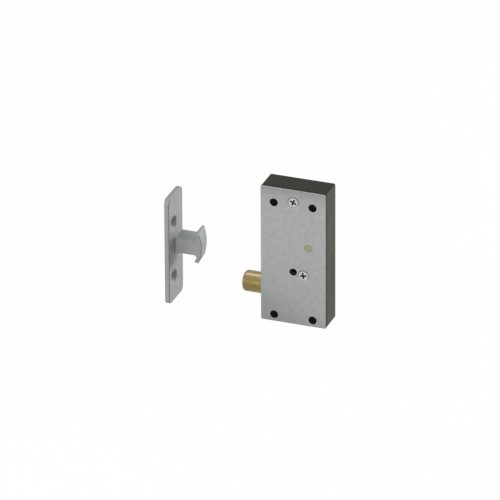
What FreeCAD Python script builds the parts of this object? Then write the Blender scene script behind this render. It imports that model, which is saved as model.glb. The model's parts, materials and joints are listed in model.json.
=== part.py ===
import FreeCAD, Part
import math
import os

# Cabinet slam latch with a crescent strike.
# A rectangular case is screwed to the cabinet by its back face. The strike is screwed to the door
# and slides in along +X. Its crescent head lifts a sprung catch, which drops behind the upper barb.
# The door then presses a brass kicker in. A key in the hub turns a crank that lifts the catch, and
# the kicker's spring pushes the door open.
# Millimetres. The origin is the centre of the case's back face, +X is the way the door closes,
# +Y points into the cabinet side that the case is screwed to, and +Z is up.

# Case
case_width = 37.2
case_height = 80.0
case_corner = 1.0
side_wall = 2.0
back_wall = 1.5
cavity_depth = 12.8
cavity_corner = 1.5
cover_thickness = 1.2
cover_edge_round = 0.45
back_edge_round = 0.4

# Mounting screws through the case, on a rectangle
mount_hole_d = 4.6
mount_spacing_x = 22.0
mount_from_bottom = 4.0
mount_from_top = 9.0
boss_wall = 1.3

# Screws that hold the cover. The upper one is on the middle line, the lower one beside the release.
cover_screw_from_top = 7.5
low_screw_x = 5.6
low_screw_z = 29.7
cover_screw_d = 2.9
cover_screw_head_d = 6.6
cover_screw_head_h = 1.7
cover_screw_length = 9.0
pilot_past_screw = 1.5
cover_screw_boss_r = 2.6
recess_wide = 3.6
recess_slot = 0.75
recess_depth = 1.1
recess_turn = 20.0

# Catch, a bell crank on a brass pin
pivot_from_right = 10.0
pivot_z = 46.7
pivot_d = 4.4
hub_tube_r = 3.6
washer_past_tube = 0.4
catch_plate_y = 3.0
catch_plate_t = 2.2
nose_front_y = 2.0
nose_width = 8.8
catch_swing = 15.0
arm_height = 4.4
arm_taper = 0.6
arm_heel = 1.0
arm_round = 1.5
arm_corner_round = 0.6
nose_back_x = 7.9
nose_thickness = 2.9
nose_top_drop = 1.0
nose_top_round = 1.0
nose_lead_height = 0.6
nose_tip_width = 1.0
nose_tip_round = 0.3
nose_over_stem = 0.25
nose_block_past = 0.4
fork_wall = 1.3
fork_past_pin = 0.75

# Release hub, on the middle line, and its crank pin
release_z = 31.2
access_hole_d = 4.2
release_body_r = 2.6
release_journal_r = 2.0
key_socket_af = 2.6
crank_reach = 5.0
crank_pin_d = 2.0
crank_thickness = 2.0
crank_wall = 0.9

# Kicker, the round brass plunger
kicker_z = 17.9
kicker_d = 11.6
kicker_out = 11.8
kicker_push = 9.3
kicker_nose_round = 1.6
kicker_stem_d = 9.0
kicker_stem_length = 4.0
kicker_bore_d = 7.0
kicker_bore_left = -5.0
kicker_plate_t = 1.3
clip_t = 0.8
clip_groove_d = 7.9
clip_d = 11.4
clip_mouth = 5.5
bush_length = 8.0
bush_wall = 1.4
bush_neck_wall = 0.4
buffer_t = 0.8
buffer_height = 1.2

# Springs and their pins
kicker_spring_wire = 0.7
kicker_spring_d = 6.4
kicker_spring_turns = 13
guide_pin_d = 4.0
guide_pin_end_room = 7.7
guide_pin_tip_round = 0.8
guide_pin_in_wall = 1.4
spring_seat_t = 0.8
spring_seat_d = 8.8
catch_spring_wire = 0.7
catch_spring_r = 4.35
catch_spring_turns = 4
catch_spring_leg = 9.0
catch_spring_tail = 5.6
spring_off_plate = 0.55
spring_lug_width = 2.6
spring_lug_above_arm = 0.4
anchor_pin_d = 2.0
anchor_before_end = 0.8
stop_x = 15.6
stop_pin_d = 2.0
stop_sleeve_d = 3.8
lift_stop_x = 12.0
stop_pin_front_gap = 1.0

# Strike
strike_height = 63.0
strike_width = 20.7
strike_thickness = 2.8
strike_corner = 3.0
strike_edge = 0.5
strike_hole_d = 4.4
strike_sink_d = 8.8
strike_hole_spacing = 32.0
strike_holes_below_middle = 1.3
hook_above_middle = 1.1
hook_behind_middle = 3.3
strike_holes_before_middle = 3.5
hook_height = 35.0
hook_reach = 15.7
hook_depth = 11.6
stem_height = 8.8
stem_root_round = 0.6
head_height = 17.8
head_round = 20.0
barb_back = 4.3
barb_rim = 0.7
barb_tip_back = 1.0
barb_drop = 1.2
hollow_height = 1.9
hollow_front = 1.0
neck_front = 0.1
slot_gap_z = 0.6
door_travel = 38.25

# Clearances
running_gap = 0.05
rest_gap = 0.1
loose_gap = 0.2
pin_gap = 0.12
coil_gap = 0.45
washer_t = 0.5
steps_in_coil = 4

# How far a cut runs past a face, and how far a joined form runs into its neighbour
past = 1.0
root_overlap = 0.5

# Places in the case
case_depth = back_wall + cavity_depth + cover_thickness
left = -case_width / 2
right = case_width / 2
bottom = -case_height / 2
top = case_height / 2
front = -case_depth
cavity_front = front + cover_thickness
cavity_back = -back_wall
mid_y = (cavity_front + cavity_back) / 2
cavity_left = left + side_wall
cavity_right = right - side_wall
pivot = (right - pivot_from_right, bottom + pivot_z)
release = (0.0, bottom + release_z)
kicker_axis_z = bottom + kicker_z
bush_half_height = kicker_d / 2 + bush_wall
hook_z = bottom + hook_height
stem_top = hook_z + stem_height / 2
mount_places = [
    (side * mount_spacing_x / 2, height)
    for side in (-1, 1)
    for height in (bottom + mount_from_bottom, top - mount_from_top)
]
screw_places = [(0.0, top - cover_screw_from_top), (low_screw_x, bottom + low_screw_z)]

# The release gear: the crank pin in the catch's fork turns the catch by catch_swing
centre_line = math.hypot(pivot[0] - release[0], pivot[1] - release[1])
half_swing = math.radians(catch_swing / 2)
crank_half = math.asin(centre_line * math.sin(half_swing) / crank_reach) - half_swing
line_angle = math.atan2(release[0] - pivot[0], pivot[1] - release[1])
fork_angle = line_angle + half_swing
crank_angle = line_angle + math.pi - crank_half
crank_pin_place = (
    release[0] + crank_reach * math.sin(crank_angle),
    release[1] - crank_reach * math.cos(crank_angle),
)
fork_reach = math.hypot(crank_pin_place[0] - pivot[0], crank_pin_place[1] - pivot[1])

# The catch's nose. Its holding face is square to the line from the pivot to its tip.
nose_x = left + nose_back_x
nose_tip_z = stem_top + nose_over_stem
arm_low = hook_z + head_height / 2 + slot_gap_z + rest_gap
nose_undercut = (arm_low - nose_tip_z) * (pivot[1] - nose_tip_z) / (pivot[0] - nose_x)
arm_top_left = (nose_x - nose_undercut, arm_low + arm_height - arm_taper)

# The lower stop carries the arm at rest, and the upper one meets the arm's top when it is lifted
stop_place = (left + stop_x, arm_low - rest_gap - stop_sleeve_d / 2)
arm_top_lean = math.atan2(pivot[1] + hub_tube_r - arm_top_left[1], pivot[0] - arm_top_left[0])
stop_along = left + lift_stop_x - arm_top_left[0]
stop_off = stop_sleeve_d / 2 + rest_gap
arm_top_z = arm_top_left[1] + stop_along * math.tan(arm_top_lean)
stop_run_x = left + lift_stop_x - stop_off * math.sin(arm_top_lean) - pivot[0]
stop_run_z = arm_top_z + stop_off * math.cos(arm_top_lean) - pivot[1]
swing = math.radians(catch_swing)
lift_stop_place = (
    pivot[0] + stop_run_x * math.cos(swing) + stop_run_z * math.sin(swing),
    pivot[1] - stop_run_x * math.sin(swing) + stop_run_z * math.cos(swing),
)

# The catch spring starts behind the arm's plate, and its tail lies under the anchor pin
spring_start_y = cavity_front + catch_plate_y + catch_plate_t + catch_spring_wire / 2 + spring_off_plate
spring_lug_x = pivot[0] - catch_spring_leg
spring_lug_top = pivot[1] + catch_spring_r - catch_spring_wire / 2 - rest_gap
anchor_place = (
    pivot[0] + catch_spring_tail - anchor_before_end,
    pivot[1] + catch_spring_r + (catch_spring_wire + anchor_pin_d) / 2 + running_gap,
)


def V(x, y, z):
    return FreeCAD.Vector(x, y, z)


def box(x0, x1, y0, y1, z0, z1):
    return Part.makeBox(x1 - x0, y1 - y0, z1 - z0, V(x0, y0, z0))


def rod_y(place, radius, y0, y1):
    return Part.makeCylinder(radius, y1 - y0, V(place[0], y0, place[1]), V(0, 1, 0))


def rod_x(radius, x0, x1, y=mid_y, z=kicker_axis_z):
    return Part.makeCylinder(radius, x1 - x0, V(x0, y, z), V(1, 0, 0))


def ring_y(place, outer, inner, y0, y1):
    return rod_y(place, outer, y0, y1).cut(rod_y(place, inner, y0 - past, y1 + past))


def plate_y(points, y0, y1):
    # A flat plate between y0 and y1 from (x, z) corners. A corner given as (x, z, radius) is rounded.
    edges = []
    starts, ends = [], []
    count = len(points)
    for i, point in enumerate(points):
        before, after = points[i - 1], points[(i + 1) % count]
        here = V(point[0], y0, point[1])
        if len(point) < 3:
            starts.append(here)
            ends.append(here)
            continue
        to_before = V(before[0], y0, before[1]).sub(here).normalize()
        to_after = V(after[0], y0, after[1]).sub(here).normalize()
        half = math.acos(max(-1.0, min(1.0, to_before.dot(to_after)))) / 2
        reach = point[2] / math.tan(half)
        starts.append(here.add(V(*to_before) * reach))
        ends.append(here.add(V(*to_after) * reach))
        middle = (to_before + to_after).normalize() * (point[2] / math.sin(half) - point[2])
        edges.append(Part.Arc(starts[i], here.add(middle), ends[i]).toShape())
    for i in range(count):
        if ends[i - 1].distanceToPoint(starts[i]) > 1e-6:
            edges.append(Part.LineSegment(ends[i - 1], starts[i]).toShape())
    wire = Part.Wire(Part.__sortEdges__(edges))
    return Part.Face(wire).extrude(V(0, y1 - y0, 0))


def link_y(start, end, half_start, half_end, y0, y1):
    # A flat bar with round ends, from start to end in the XZ plane.
    run = math.hypot(end[0] - start[0], end[1] - start[1])
    angle = math.atan2(end[1] - start[1], end[0] - start[0])
    lean = math.acos((half_start - half_end) / run)
    corners = []
    rounds = ((start, half_start, 1), (start, half_start, -1), (end, half_end, -1), (end, half_end, 1))
    for place, half, side in rounds:
        turn = angle + side * lean
        corners.append((place[0] + half * math.cos(turn), place[1] + half * math.sin(turn)))
    bar = plate_y(corners, y0, y1)
    return bar.fuse([rod_y(start, half_start, y0, y1), rod_y(end, half_end, y0, y1)]).removeSplitter()


def rounded_slab(width, height, corner, y0, y1):
    slab = box(-width / 2, width / 2, y0, y1, -height / 2, height / 2)
    uprights = [e for e in slab.Edges if abs(e.tangentAt(e.FirstParameter).y) > 0.9]
    return slab.makeFillet(corner, uprights)


def edges_at_y(shape, y):
    return [e for e in shape.Edges if abs(e.BoundBox.YMin - y) < 1e-4 and abs(e.BoundBox.YMax - y) < 1e-4]


def place_from_pivot(reach, angle):
    # A point at a distance from the pivot along a direction, angle from straight down towards +X.
    return (pivot[0] + reach * math.sin(angle), pivot[1] - reach * math.cos(angle))


def arc_between(start, corner, end):
    # The arc that leaves start towards corner and reaches end from corner.
    middle = (start + end) * 0.5
    half_chord = start.distanceToPoint(end) / 2
    height = corner.distanceToPoint(middle)
    sagitta = half_chord * math.tan(math.atan2(height, half_chord) / 2)
    bow = (corner - middle).normalize() * sagitta
    return Part.Arc(start, middle + bow, end).toShape()


def biarc(p0, t0, p1, t1):
    # Two arcs from p0 to p1 that share a tangent where they meet.
    run = p1 - p0
    both = t0 + t1
    a = both.dot(both) - 4.0
    b = -2.0 * run.dot(both)
    c = run.dot(run)
    if abs(a) < 1e-9:
        reach = -c / b
    else:
        reach = (-b - math.sqrt(b * b - 4 * a * c)) / (2 * a)
        other = (-b + math.sqrt(b * b - 4 * a * c)) / (2 * a)
        reach = min(r for r in (reach, other) if r > 0)
    first = p0 + t0 * reach
    second = p1 - t1 * reach
    joint = (first + second) * 0.5
    return [arc_between(p0, first, joint), arc_between(joint, second, p1)]


def coil_points(radius, pitches, per_turn):
    # Points and tangents of a coil about +Z that starts at (radius, 0, 0). pitches gives one rise per turn.
    places, tangents = [], []
    height = 0.0
    for turn, pitch in enumerate(pitches):
        for step in range(per_turn):
            places.append(coil_place(radius, turn + step / per_turn, height + pitch * step / per_turn))
            tangents.append(coil_tangent(radius, step / per_turn, pitch))
        height += pitch
    places.append(coil_place(radius, 0.0, height))
    tangents.append(coil_tangent(radius, 0.0, pitches[-1]))
    return places, tangents


def coil_place(radius, turns, height):
    return V(radius * math.cos(2 * math.pi * turns), radius * math.sin(2 * math.pi * turns), height)


def coil_tangent(radius, turns, pitch):
    around = 2 * math.pi * radius
    length = math.hypot(around, pitch)
    swing = V(-math.sin(2 * math.pi * turns), math.cos(2 * math.pi * turns), 0) * (around / length)
    return swing + V(0, 0, pitch / length)


def tube_along(edges, start, direction, wire_r):
    path = Part.Wire(edges)
    profile = Part.Wire([Part.makeCircle(wire_r, start, direction)])
    return path.makePipeShell([profile], True, False)


def least_gap(name, pitches, wire):
    print(name, "least gap between turns %.2f mm" % (min(pitches[1:-1] or pitches) - wire))


def housing():
    body = rounded_slab(case_width, case_height, case_corner, cavity_front, 0.0)
    body = body.makeFillet(back_edge_round, edges_at_y(body, 0.0))
    inner_w = case_width - 2 * side_wall
    inner_h = case_height - 2 * side_wall
    shell = body.cut(rounded_slab(inner_w, inner_h, cavity_corner, cavity_front - past, cavity_back))
    boss_end = cavity_back + root_overlap
    bosses = [rod_y(p, mount_hole_d / 2 + boss_wall, cavity_front, boss_end) for p in mount_places]
    bosses += [rod_y(p, cover_screw_boss_r, cavity_front, boss_end) for p in screw_places]
    keep = rounded_slab(case_width - side_wall, case_height - side_wall, cavity_corner, cavity_front, 0.0)
    shell = shell.fuse([b.common(keep) for b in bosses])
    # The kicker's bush drops into a round-bottomed notch from the front.
    neck = kicker_d / 2 + running_gap + bush_neck_wall
    shell = shell.cut(neck_form(neck, left - past, cavity_left + past, cavity_front - past))
    # The slot for the strike's head, open to the front until the cover closes it.
    slot_low, slot_high = hook_z - head_height / 2 - slot_gap_z, hook_z + head_height / 2 + slot_gap_z
    slot = box(left - past, cavity_left + past, cavity_front - past, cavity_back, slot_low, slot_high)
    shell = shell.cut(slot)
    holes = [rod_y(p, mount_hole_d / 2, front - past, past) for p in mount_places]
    holes += [screw_form(p, 0.0) for p in screw_places]
    pilot_end = front + cover_screw_length + pilot_past_screw
    holes += [rod_y(p, cover_screw_d / 2, front, pilot_end) for p in screw_places]
    holes.append(rod_y(pivot, pivot_d / 2, cavity_back - past, past))
    holes.append(rod_y(release, release_journal_r + running_gap, cavity_back - past, past))
    pins = ((stop_place, stop_pin_d), (lift_stop_place, stop_pin_d), (anchor_place, anchor_pin_d))
    for place, diameter in pins:
        holes.append(rod_y(place, diameter / 2, cavity_back - past, past))
    holes.append(rod_x(guide_pin_d / 2, cavity_right - past, cavity_right + guide_pin_in_wall))
    return shell.cut(holes).removeSplitter()


def neck_form(radius, x0, x1, y0):
    # A bar along X with a round back and straight sides that run forward to y0.
    sides = box(x0, x1, y0, mid_y, kicker_axis_z - radius, kicker_axis_z + radius)
    return rod_x(radius, x0, x1).fuse(sides).removeSplitter()


def cover_plate():
    plate = rounded_slab(case_width, case_height, case_corner, front, cavity_front)
    plate = plate.makeFillet(cover_edge_round, edges_at_y(plate, front))
    cuts = [rod_y(p, mount_hole_d / 2, front - past, cavity_front + past) for p in mount_places]
    cuts.append(rod_y(release, access_hole_d / 2, front - past, cavity_front + past))
    cuts.append(rod_y(pivot, pivot_d / 2, front - past, cavity_front + past))
    for place in screw_places:
        cuts.append(screw_form(place, running_gap))
    return plate.cut(cuts)


def screw_form(place, gap):
    # A countersunk screw's outside, from the cover's face inwards, grown by gap.
    cone = Part.makeCone(
        cover_screw_head_d / 2 + gap, cover_screw_d / 2 + gap, cover_screw_head_h,
        V(place[0], front, place[1]), V(0, 1, 0),
    )
    shank = rod_y(place, cover_screw_d / 2 + gap, front, front + cover_screw_length)
    return cone.fuse(shank).removeSplitter()


def cover_screws():
    screws = []
    for place in screw_places:
        screw = screw_form(place, 0.0)
        arms = [
            box(-recess_wide / 2, recess_wide / 2, -past, recess_depth, -recess_slot / 2, recess_slot / 2),
            box(-recess_slot / 2, recess_slot / 2, -past, recess_depth, -recess_wide / 2, recess_wide / 2),
        ]
        cross = arms[0].fuse(arms[1])
        cross.rotate(V(0, 0, 0), V(0, 1, 0), recess_turn)
        cross.translate(V(place[0], front, place[1]))
        screws.append(screw.cut(cross))
    return Part.Compound(screws)


def pivot_pin():
    return rod_y(pivot, pivot_d / 2, front, -loose_gap)


def pivot_washers():
    inner = pivot_d / 2 + running_gap
    outer = hub_tube_r + washer_past_tube
    near = ring_y(pivot, outer, inner, cavity_front, cavity_front + washer_t)
    far = ring_y(pivot, outer, inner, cavity_back - washer_t, cavity_back)
    return Part.Compound([near, far])


def catch_lever():
    plate0 = cavity_front + catch_plate_y
    plate1 = plate0 + catch_plate_t
    outline = [
        (pivot[0], pivot[1] + hub_tube_r),
        (arm_top_left[0], arm_top_left[1], nose_top_round),
        (nose_x - nose_thickness, arm_top_left[1] - nose_top_drop, nose_top_round),
        (nose_x - nose_thickness, arm_low - nose_lead_height, arm_round),
        (nose_x - nose_tip_width, nose_tip_z, nose_tip_round),
        (nose_x, nose_tip_z, nose_tip_round),
        (nose_x - nose_undercut, arm_low, arm_corner_round),
        (pivot[0] - hub_tube_r - arm_heel, arm_low, arm_round),
        (pivot[0], pivot[1] - hub_tube_r),
    ]
    arm = plate_y(outline, plate0, plate1)
    nose_block = plate_y(outline, cavity_front + nose_front_y, cavity_front + nose_front_y + nose_width)
    nose_block = nose_block.common(box(left, nose_x + nose_block_past, front, 0, bottom, top))
    tube = rod_y(pivot, hub_tube_r, cavity_front + washer_t + rest_gap, cavity_back - washer_t - rest_gap)
    # The tail ends in a fork that holds the crank pin.
    half_fork = crank_pin_d / 2 + pin_gap + fork_wall
    fork_end = fork_reach + fork_past_pin
    tail_end = place_from_pivot(fork_end - half_fork, fork_angle)
    tail = link_y(pivot, tail_end, hub_tube_r, half_fork, plate0, plate1)
    lug = box(
        spring_lug_x, spring_lug_x + spring_lug_width, plate1 - root_overlap, plate1 + spring_lug_width,
        arm_low + spring_lug_above_arm, spring_lug_top,
    )
    lever = tube.fuse([arm, nose_block, tail, lug])
    slot_half = crank_pin_d / 2 + pin_gap
    slot_start = place_from_pivot(centre_line - crank_reach - pin_gap, fork_angle)
    slot_end = place_from_pivot(fork_end + past, fork_angle)
    slot = link_y(slot_start, slot_end, slot_half, slot_half, plate0 - past, plate1 + past)
    bore = rod_y(pivot, pivot_d / 2 + running_gap, front, 0)
    return lever.cut([slot, bore]).removeSplitter()


def catch_spring():
    pitches = [catch_spring_wire + coil_gap] * catch_spring_turns
    least_gap("catch_spring", [0] + pitches + [0], catch_spring_wire)
    places, tangents = coil_points(catch_spring_r, pitches, steps_in_coil)
    edges = []
    for i in range(len(places) - 1):
        edges += biarc(places[i], tangents[i], places[i + 1], tangents[i + 1])
    # The coil starts and ends above the pivot. Its legs run out straight, one to the arm's lug and
    # one to the anchor pin.
    lead = places[0] - tangents[0] * catch_spring_leg
    tail = places[-1] + tangents[-1] * catch_spring_tail
    edges.insert(0, Part.LineSegment(lead, places[0]).toShape())
    edges.append(Part.LineSegment(places[-1], tail).toShape())
    spring = tube_along(edges, lead, tangents[0], catch_spring_wire / 2)
    # Local X turns to +Z, local Y to +X and local Z to +Y.
    turn = FreeCAD.Matrix(0, 1, 0, pivot[0], 0, 0, 1, spring_start_y, 1, 0, 0, pivot[1], 0, 0, 0, 1)
    return placed(spring, turn)


def placed(shape, matrix):
    copy = shape.copy()
    copy.Placement = FreeCAD.Placement(matrix)
    return copy


def spring_anchor_pin():
    return rod_y(anchor_place, anchor_pin_d / 2, spring_start_y, -loose_gap)


def stop_pins():
    start = cavity_front + stop_pin_front_gap
    pins = [rod_y(place, stop_pin_d / 2, start, -loose_gap) for place in (stop_place, lift_stop_place)]
    return Part.Compound(pins)


def stop_sleeves():
    sleeves = []
    for place in (stop_place, lift_stop_place):
        start = cavity_front + stop_pin_front_gap
        sleeves.append(ring_y(place, stop_sleeve_d / 2, stop_pin_d / 2, start, cavity_back))
    return Part.Compound(sleeves)


def release_hub():
    crank0 = cavity_front + catch_plate_y + catch_plate_t + loose_gap
    crank1 = crank0 + crank_thickness
    body = rod_y(release, release_body_r, cavity_front + washer_t + rest_gap, cavity_back - rest_gap)
    journal = rod_y(release, release_journal_r, cavity_back - past, -loose_gap)
    eye = crank_pin_d / 2 + crank_wall
    crank = link_y(release, crank_pin_place, eye, eye, crank0, crank1)
    socket = Part.Face(hexagon(release, key_socket_af, front)).extrude(V(0, case_depth + past, 0))
    pin_hole = rod_y(crank_pin_place, crank_pin_d / 2, crank0 - past, crank1 + past)
    return body.fuse([journal, crank]).cut([socket, pin_hole]).removeSplitter()


def hexagon(place, across_flats, y):
    radius = across_flats / math.sqrt(3)
    corners = []
    for k in range(7):
        turn = math.radians(60 * k)
        corners.append(V(place[0] + radius * math.cos(turn), y, place[1] + radius * math.sin(turn)))
    return Part.makePolygon(corners)


def crank_pin():
    start = cavity_front + catch_plate_y - loose_gap
    end = cavity_front + catch_plate_y + catch_plate_t + loose_gap + crank_thickness
    return rod_y(crank_pin_place, crank_pin_d / 2, start, end)


def hub_washer():
    return ring_y(release, release_body_r, access_hole_d / 2, cavity_front, cavity_front + washer_t)


def kicker():
    nose = left - kicker_out
    shoulder = left + bush_length + buffer_t + rest_gap
    body = rod_x(kicker_d / 2, nose, shoulder)
    rim = [e for e in body.Edges if abs(e.BoundBox.XMax - nose) < 1e-4]
    body = body.makeFillet(kicker_nose_round, rim)
    stem = rod_x(kicker_stem_d / 2, shoulder, shoulder + kicker_stem_length)
    bore = rod_x(kicker_bore_d / 2, left + kicker_bore_left, right)
    groove0 = shoulder + kicker_plate_t
    groove = rod_x(kicker_d, groove0, groove0 + clip_t)
    groove = groove.cut(rod_x(clip_groove_d / 2, groove0, groove0 + clip_t))
    return body.fuse(stem).cut([bore, groove]).removeSplitter()


def kicker_bush():
    neck = kicker_d / 2 + running_gap + bush_neck_wall
    block = box(
        cavity_left, left + bush_length, cavity_front + rest_gap, cavity_back - rest_gap,
        kicker_axis_z - bush_half_height, kicker_axis_z + bush_half_height,
    )
    bush = block.fuse(neck_form(neck, left, cavity_left, cavity_front + rest_gap))
    bore = rod_x(kicker_d / 2 + running_gap, left - past, left + bush_length + past)
    return bush.cut(bore).removeSplitter()


def buffer_pads():
    pads = []
    for side in (-1, 1):
        far = kicker_axis_z + side * bush_half_height
        near = far - side * buffer_height
        pads.append(
            box(
                left + bush_length, left + bush_length + buffer_t, cavity_front + loose_gap,
                cavity_back - loose_gap, min(near, far), max(near, far),
            )
        )
    return Part.Compound(pads)


def kicker_plate():
    x0 = left + bush_length + buffer_t + rest_gap
    plate = box(
        x0, x0 + kicker_plate_t, cavity_front + loose_gap, cavity_back - loose_gap,
        kicker_axis_z - bush_half_height, kicker_axis_z + bush_half_height,
    )
    return plate.cut(rod_x(kicker_stem_d / 2, x0 - past, x0 + kicker_plate_t + past))


def kicker_clip():
    # A C-shaped clip in the stem's groove, open towards the bottom.
    x0 = left + bush_length + buffer_t + rest_gap + kicker_plate_t
    x1 = x0 + clip_t
    half = clip_mouth / 2
    ring = rod_x(clip_d / 2, x0, x1).cut(rod_x(clip_groove_d / 2, x0 - past, x1 + past))
    return ring.cut(box(x0 - past, x1 + past, mid_y - half, mid_y + half, bottom, kicker_axis_z))


def kicker_spring():
    wire = kicker_spring_wire
    start = left + kicker_bore_left
    end = cavity_right - spring_seat_t
    closed = wire + coil_gap
    free = (end - start - wire - 2 * closed - 2 * rest_gap) / (kicker_spring_turns - 2)
    pitches = [closed] + [free] * (kicker_spring_turns - 2) + [closed]
    least_gap("kicker_spring", [0] + pitches + [0], wire)
    radius = (kicker_spring_d - wire) / 2
    places, tangents = coil_points(radius, pitches, steps_in_coil)
    edges = []
    for i in range(len(places) - 1):
        edges += biarc(places[i], tangents[i], places[i + 1], tangents[i + 1])
    spring = tube_along(edges, places[0], tangents[0], wire / 2)
    # Local Z turns to +X.
    coil_x = start + wire / 2 + rest_gap
    turn = FreeCAD.Matrix(0, 0, 1, coil_x, 1, 0, 0, mid_y, 0, 1, 0, kicker_axis_z, 0, 0, 0, 1)
    return placed(spring, turn)


def spring_guide_pin():
    # Its tip stays clear of the bottom of the kicker's bore with the kicker pushed in.
    tip_x = left + kicker_bore_left + kicker_push + guide_pin_end_room
    pin = rod_x(guide_pin_d / 2, tip_x, cavity_right + guide_pin_in_wall)
    tip = [e for e in pin.Edges if abs(e.BoundBox.XMax - tip_x) < 1e-4]
    return pin.makeFillet(guide_pin_tip_round, tip)


def spring_seat():
    x0 = cavity_right - spring_seat_t
    bore = rod_x(guide_pin_d / 2, x0 - past, cavity_right + past)
    return rod_x(spring_seat_d / 2, x0, cavity_right).cut(bore)


def strike():
    # The plate stands off the case by the door's travel. Its front face is at face_x.
    face_x = left - kicker_out - rest_gap - door_travel
    back_x = face_x - strike_thickness
    half_w, half_h = strike_width / 2, strike_height / 2
    middle_z = hook_z - hook_above_middle
    middle_y = mid_y - hook_behind_middle
    plate = box(back_x, face_x, middle_y - half_w, middle_y + half_w, middle_z - half_h, middle_z + half_h)
    corners = [e for e in plate.Edges if abs(e.tangentAt(e.FirstParameter).x) > 0.9]
    plate = plate.makeFillet(strike_corner, corners)
    plate = plate.makeFillet(strike_edge, [e for e in plate.Edges if lies_at_x(e, face_x)])
    hook = hook_form(face_x)
    body = plate.fuse(hook).removeSplitter()
    root = [e for e in body.Edges if on_stem_root(e, face_x)]
    body = body.makeFillet(stem_root_round, root)
    cuts = []
    y = middle_y - strike_holes_before_middle
    sink_depth = (strike_sink_d - strike_hole_d) / 2
    for side in (-1, 1):
        z = middle_z - strike_holes_below_middle + side * strike_hole_spacing / 2
        cuts.append(rod_x(strike_hole_d / 2, back_x - past, face_x + past, y, z))
        sink_floor = V(face_x - sink_depth, y, z)
        cuts.append(Part.makeCone(strike_hole_d / 2, strike_sink_d / 2, sink_depth, sink_floor, V(1, 0, 0)))
    return body.cut(cuts)


def lies_at_x(edge, x):
    return abs(edge.BoundBox.XMin - x) < 1e-4 and abs(edge.BoundBox.XMax - x) < 1e-4


def on_stem_root(edge, face_x):
    bounds = edge.BoundBox
    within_z = bounds.ZMax < stem_top + rest_gap and bounds.ZMin > stem_top - stem_height - rest_gap
    within_y = abs(bounds.YMax - mid_y) < hook_depth / 2 + rest_gap
    return lies_at_x(edge, face_x) and within_z and within_y


def hook_form(face_x):
    # The stem and the crescent head, one profile in the XZ plane drawn through the strike's depth.
    apex = face_x + hook_reach
    half_head = head_height / 2
    bow = head_round - math.sqrt(head_round ** 2 - (half_head - barb_rim) ** 2)
    half_stem = stem_height / 2
    barb_x = apex - barb_back
    y0 = mid_y - hook_depth / 2
    edges = []
    rims = {}
    for side in (1, -1):
        rim = V(apex - bow, y0, hook_z + side * (half_head - barb_rim))
        tip = V(apex - bow - barb_tip_back, y0, hook_z + side * half_head)
        barb = V(barb_x, y0, hook_z + side * (half_head - barb_drop))
        hollow = V(barb_x + hollow_front, y0, hook_z + side * (half_stem + hollow_height))
        neck = V(barb_x + neck_front, y0, hook_z + side * half_stem)
        root = V(face_x - strike_thickness / 2, y0, hook_z + side * half_stem)
        edges.append(Part.Arc(rim, tip, barb).toShape())
        edges.append(Part.Arc(barb, hollow, neck).toShape())
        edges.append(Part.LineSegment(neck, root).toShape())
        rims[side] = (rim, root)
    edges.append(Part.Arc(rims[1][0], V(apex, y0, hook_z), rims[-1][0]).toShape())
    edges.append(Part.LineSegment(rims[1][1], rims[-1][1]).toShape())
    wire = Part.Wire(Part.__sortEdges__(edges))
    return Part.Face(wire).extrude(V(0, hook_depth, 0))


pieces = {
    "housing": housing,
    "cover_plate": cover_plate,
    "cover_screws": cover_screws,
    "pivot_pin": pivot_pin,
    "pivot_washers": pivot_washers,
    "catch_lever": catch_lever,
    "catch_spring": catch_spring,
    "spring_anchor_pin": spring_anchor_pin,
    "stop_pins": stop_pins,
    "stop_sleeves": stop_sleeves,
    "release_hub": release_hub,
    "crank_pin": crank_pin,
    "hub_washer": hub_washer,
    "kicker": kicker,
    "kicker_bush": kicker_bush,
    "buffer_pads": buffer_pads,
    "kicker_plate": kicker_plate,
    "kicker_clip": kicker_clip,
    "kicker_spring": kicker_spring,
    "spring_guide_pin": spring_guide_pin,
    "spring_seat": spring_seat,
    "strike": strike,
}

os.makedirs("parts", exist_ok=True)
for name, make in pieces.items():
    shape = make()
    shape.exportStep("parts/%s.step" % name)
    box_size = shape.BoundBox
    print(
        "%-18s solids %d valid %s volume %.1f x %.2f..%.2f y %.2f..%.2f z %.2f..%.2f"
        % (
            name, len(shape.Solids), shape.isValid(), shape.Volume, box_size.XMin, box_size.XMax,
            box_size.YMin, box_size.YMax, box_size.ZMin, box_size.ZMax,
        )
    )
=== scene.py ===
# %% [markdown]
# # A cabinet latch and its strike
#
# The latch is a flat metal case that is screwed to the inside of a cabinet. A grey cast strike on the
# door slides into a slot in its side, and a brass plunger, the kicker, throws the door open again.
# The construction model gives every size and place. This notebook adds the looks: the outer pieces
# are modelled again with soft edges and real recesses, and every metal gets its finish.

# %% Load the fixed frame
import json
import math

import bpy
from mathutils import Matrix, Vector


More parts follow.
